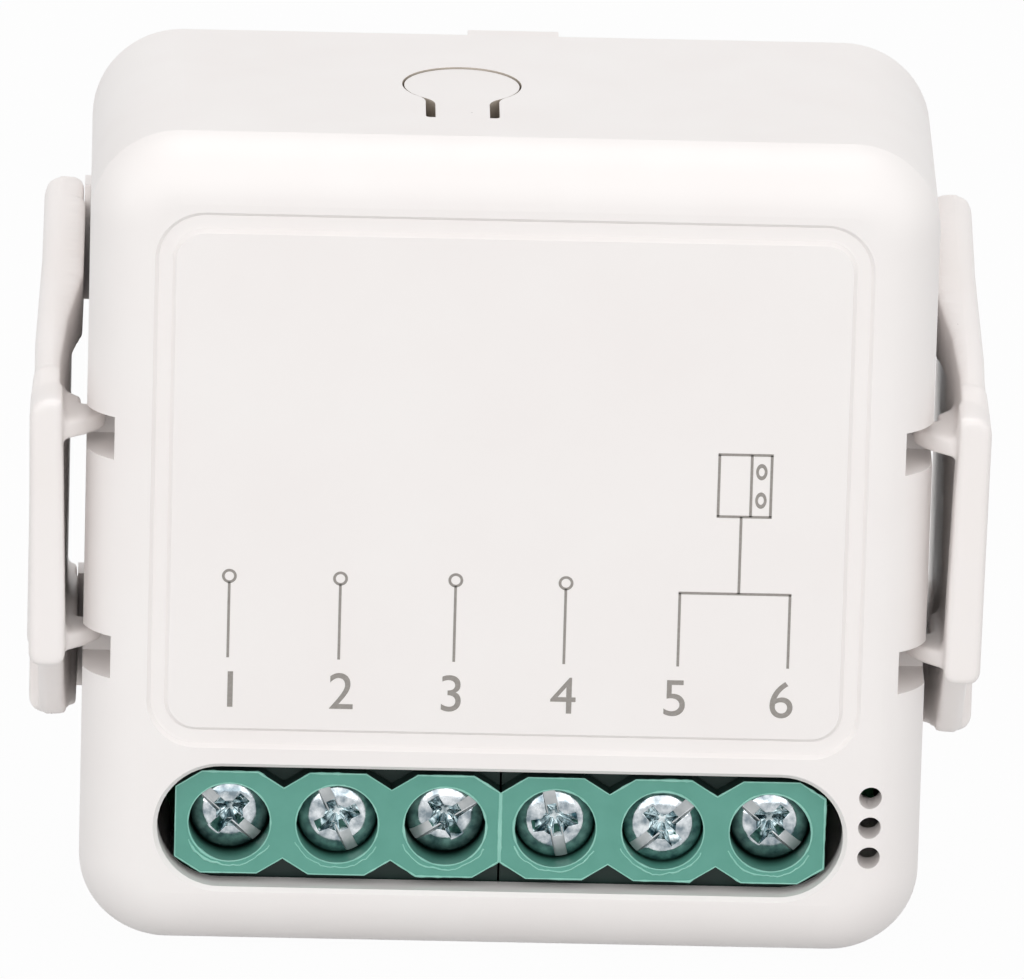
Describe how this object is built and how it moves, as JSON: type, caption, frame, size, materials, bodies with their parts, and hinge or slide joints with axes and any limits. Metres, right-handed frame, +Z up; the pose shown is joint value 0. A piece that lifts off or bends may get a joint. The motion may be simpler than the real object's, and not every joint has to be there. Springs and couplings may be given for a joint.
{
  "type": "garage door controller",
  "caption": "Compact square garage door controller module with front screw terminals, a top pairing button and a clip-on rear bracket with flexing side arms.",
  "frame": {"origin": "centre of the bounding box's base, on the surface that the bottom wall stands on", "axes": "+X right across the front, +Y from the front face to the bracket, +Z up, towards the pairing button"},
  "size_m": [0.0442, 0.0198, 0.0394],
  "materials": {
    "white_case": "satin",
    "white_bracket": "satin",
    "green_terminal": "satin",
    "zinc_screw": "zinc plated",
    "zinc_cage": "nickel plated",
    "tinned_brass": "tinned",
    "circuit_board": "solder mask",
    "relay_case": "moulded",
    "ferrite": "pressed",
    "winding_tape": "wrapped",
    "capacitor_sleeve": "shrunk sleeve",
    "varistor_coating": "dipped",
    "resistor_coating": "dipped",
    "black_moulding": "moulded",
    "radio_laminate": "solder mask",
    "tin_can": "rolled",
    "light_lens": "clear"
  },
  "bodies": {
    "module": {"front_housing": "white_case", "rear_cover": "white_case", "mounting_bracket": "white_bracket", "terminal_block_left": "green_terminal", "terminal_block_right": "green_terminal", "terminal_contacts": "tinned_brass", "main_board": "circuit_board", "relay": "relay_case", "transformer_core": "ferrite", "transformer_bobbin": "winding_tape", "input_capacitors": "capacitor_sleeve", "output_capacitors": "capacitor_sleeve", "varistor": "varistor_coating", "fuse_resistor": "resistor_coating", "choke": "ferrite", "optocoupler": "black_moulding", "board_chips": "black_moulding", "radio_board": "radio_laminate", "radio_shield": "tin_can", "pin_header": "black_moulding", "status_light": "light_lens", "tact_switch_body": "black_moulding"},
    "pairing_button_body": {"pairing_button": "white_case"},
    "plunger_body": {"tact_switch_plunger": "black_moulding"},
    "left_arm_body": {"left_clip_arm": "white_bracket"},
    "right_arm_body": {"right_clip_arm": "white_bracket"},
    "screw_body_1": {"terminal_screw_1": "zinc_screw"},
    "cage_body_1": {"clamp_cage_1": "zinc_cage"},
    "screw_body_2": {"terminal_screw_2": "zinc_screw"},
    "cage_body_2": {"clamp_cage_2": "zinc_cage"},
    "screw_body_3": {"terminal_screw_3": "zinc_screw"},
    "cage_body_3": {"clamp_cage_3": "zinc_cage"},
    "screw_body_4": {"terminal_screw_4": "zinc_screw"},
    "cage_body_4": {"clamp_cage_4": "zinc_cage"},
    "screw_body_5": {"terminal_screw_5": "zinc_screw"},
    "cage_body_5": {"clamp_cage_5": "zinc_cage"},
    "screw_body_6": {"terminal_screw_6": "zinc_screw"},
    "cage_body_6": {"clamp_cage_6": "zinc_cage"}
  },
  "joints": [
    {"name": "pairing_button_press", "type": "hinge", "parent": "module", "child": "pairing_button_body", "pos_m": [-0.0025, -0.00485, 0.0381], "axis": [-1, 0, 0], "range_deg": [0, 3.5], "stiffness_Nm_per_rad": 0.02},
    {"name": "switch_plunger_travel", "type": "slide", "parent": "module", "child": "plunger_body", "axis": [0, 0, -1], "range_m": [0, 0.000326], "stiffness_N_per_m": 20},
    {"name": "left_arm_flex", "type": "hinge", "parent": "module", "child": "left_arm_body", "pos_m": [-0.02145, 0.0099, 0.0192], "axis": [0, 0, -1], "range_deg": [0, 5], "stiffness_Nm_per_rad": 0.05},
    {"name": "right_arm_flex", "type": "hinge", "parent": "module", "child": "right_arm_body", "pos_m": [0.02145, 0.0099, 0.0192], "axis": [0, 0, 1], "range_deg": [0, 5], "stiffness_Nm_per_rad": 0.05},
    {"name": "screw_turn_1", "type": "hinge", "parent": "module", "child": "screw_body_1", "pos_m": [-0.01255, 0, 0.00625], "axis": [0, 1, 0], "range_deg": [0, 1368.2]},
    {"name": "cage_rise_1", "type": "slide", "parent": "module", "child": "cage_body_1", "axis": [0, -1, 0], "range_m": [0, 0.0019]},
    {"name": "screw_turn_2", "type": "hinge", "parent": "module", "child": "screw_body_2", "pos_m": [-0.00755, 0, 0.00625], "axis": [0, 1, 0], "range_deg": [0, 1368.2]},
    {"name": "cage_rise_2", "type": "slide", "parent": "module", "child": "cage_body_2", "axis": [0, -1, 0], "range_m": [0, 0.0019]},
    {"name": "screw_turn_3", "type": "hinge", "parent": "module", "child": "screw_body_3", "pos_m": [-0.00255, 0, 0.00625], "axis": [0, 1, 0], "range_deg": [0, 1368.2]},
    {"name": "cage_rise_3", "type": "slide", "parent": "module", "child": "cage_body_3", "axis": [0, -1, 0], "range_m": [0, 0.0019]},
    {"name": "screw_turn_4", "type": "hinge", "parent": "module", "child": "screw_body_4", "pos_m": [0.00255, 0, 0.00625], "axis": [0, 1, 0], "range_deg": [0, 1368.2]},
    {"name": "cage_rise_4", "type": "slide", "parent": "module", "child": "cage_body_4", "axis": [0, -1, 0], "range_m": [0, 0.0019]},
    {"name": "screw_turn_5", "type": "hinge", "parent": "module", "child": "screw_body_5", "pos_m": [0.00755, 0, 0.00625], "axis": [0, 1, 0], "range_deg": [0, 1368.2]},
    {"name": "cage_rise_5", "type": "slide", "parent": "module", "child": "cage_body_5", "axis": [0, -1, 0], "range_m": [0, 0.0019]},
    {"name": "screw_turn_6", "type": "hinge", "parent": "module", "child": "screw_body_6", "pos_m": [0.01255, 0, 0.00625], "axis": [0, 1, 0], "range_deg": [0, 1368.2]},
    {"name": "cage_rise_6", "type": "slide", "parent": "module", "child": "cage_body_6", "axis": [0, -1, 0], "range_m": [0, 0.0019]}
  ],
  "couplings": [
    {"joint": "pairing_button_press", "follows": "switch_plunger_travel", "rad_per_m": 186.92},
    {"joint": "screw_turn_1", "follows": "cage_rise_1", "rad_per_m": 12566},
    {"joint": "screw_turn_2", "follows": "cage_rise_2", "rad_per_m": 12566},
    {"joint": "screw_turn_3", "follows": "cage_rise_3", "rad_per_m": 12566},
    {"joint": "screw_turn_4", "follows": "cage_rise_4", "rad_per_m": 12566},
    {"joint": "screw_turn_5", "follows": "cage_rise_5", "rad_per_m": 12566},
    {"joint": "screw_turn_6", "follows": "cage_rise_6", "rad_per_m": 12566}
  ]
}
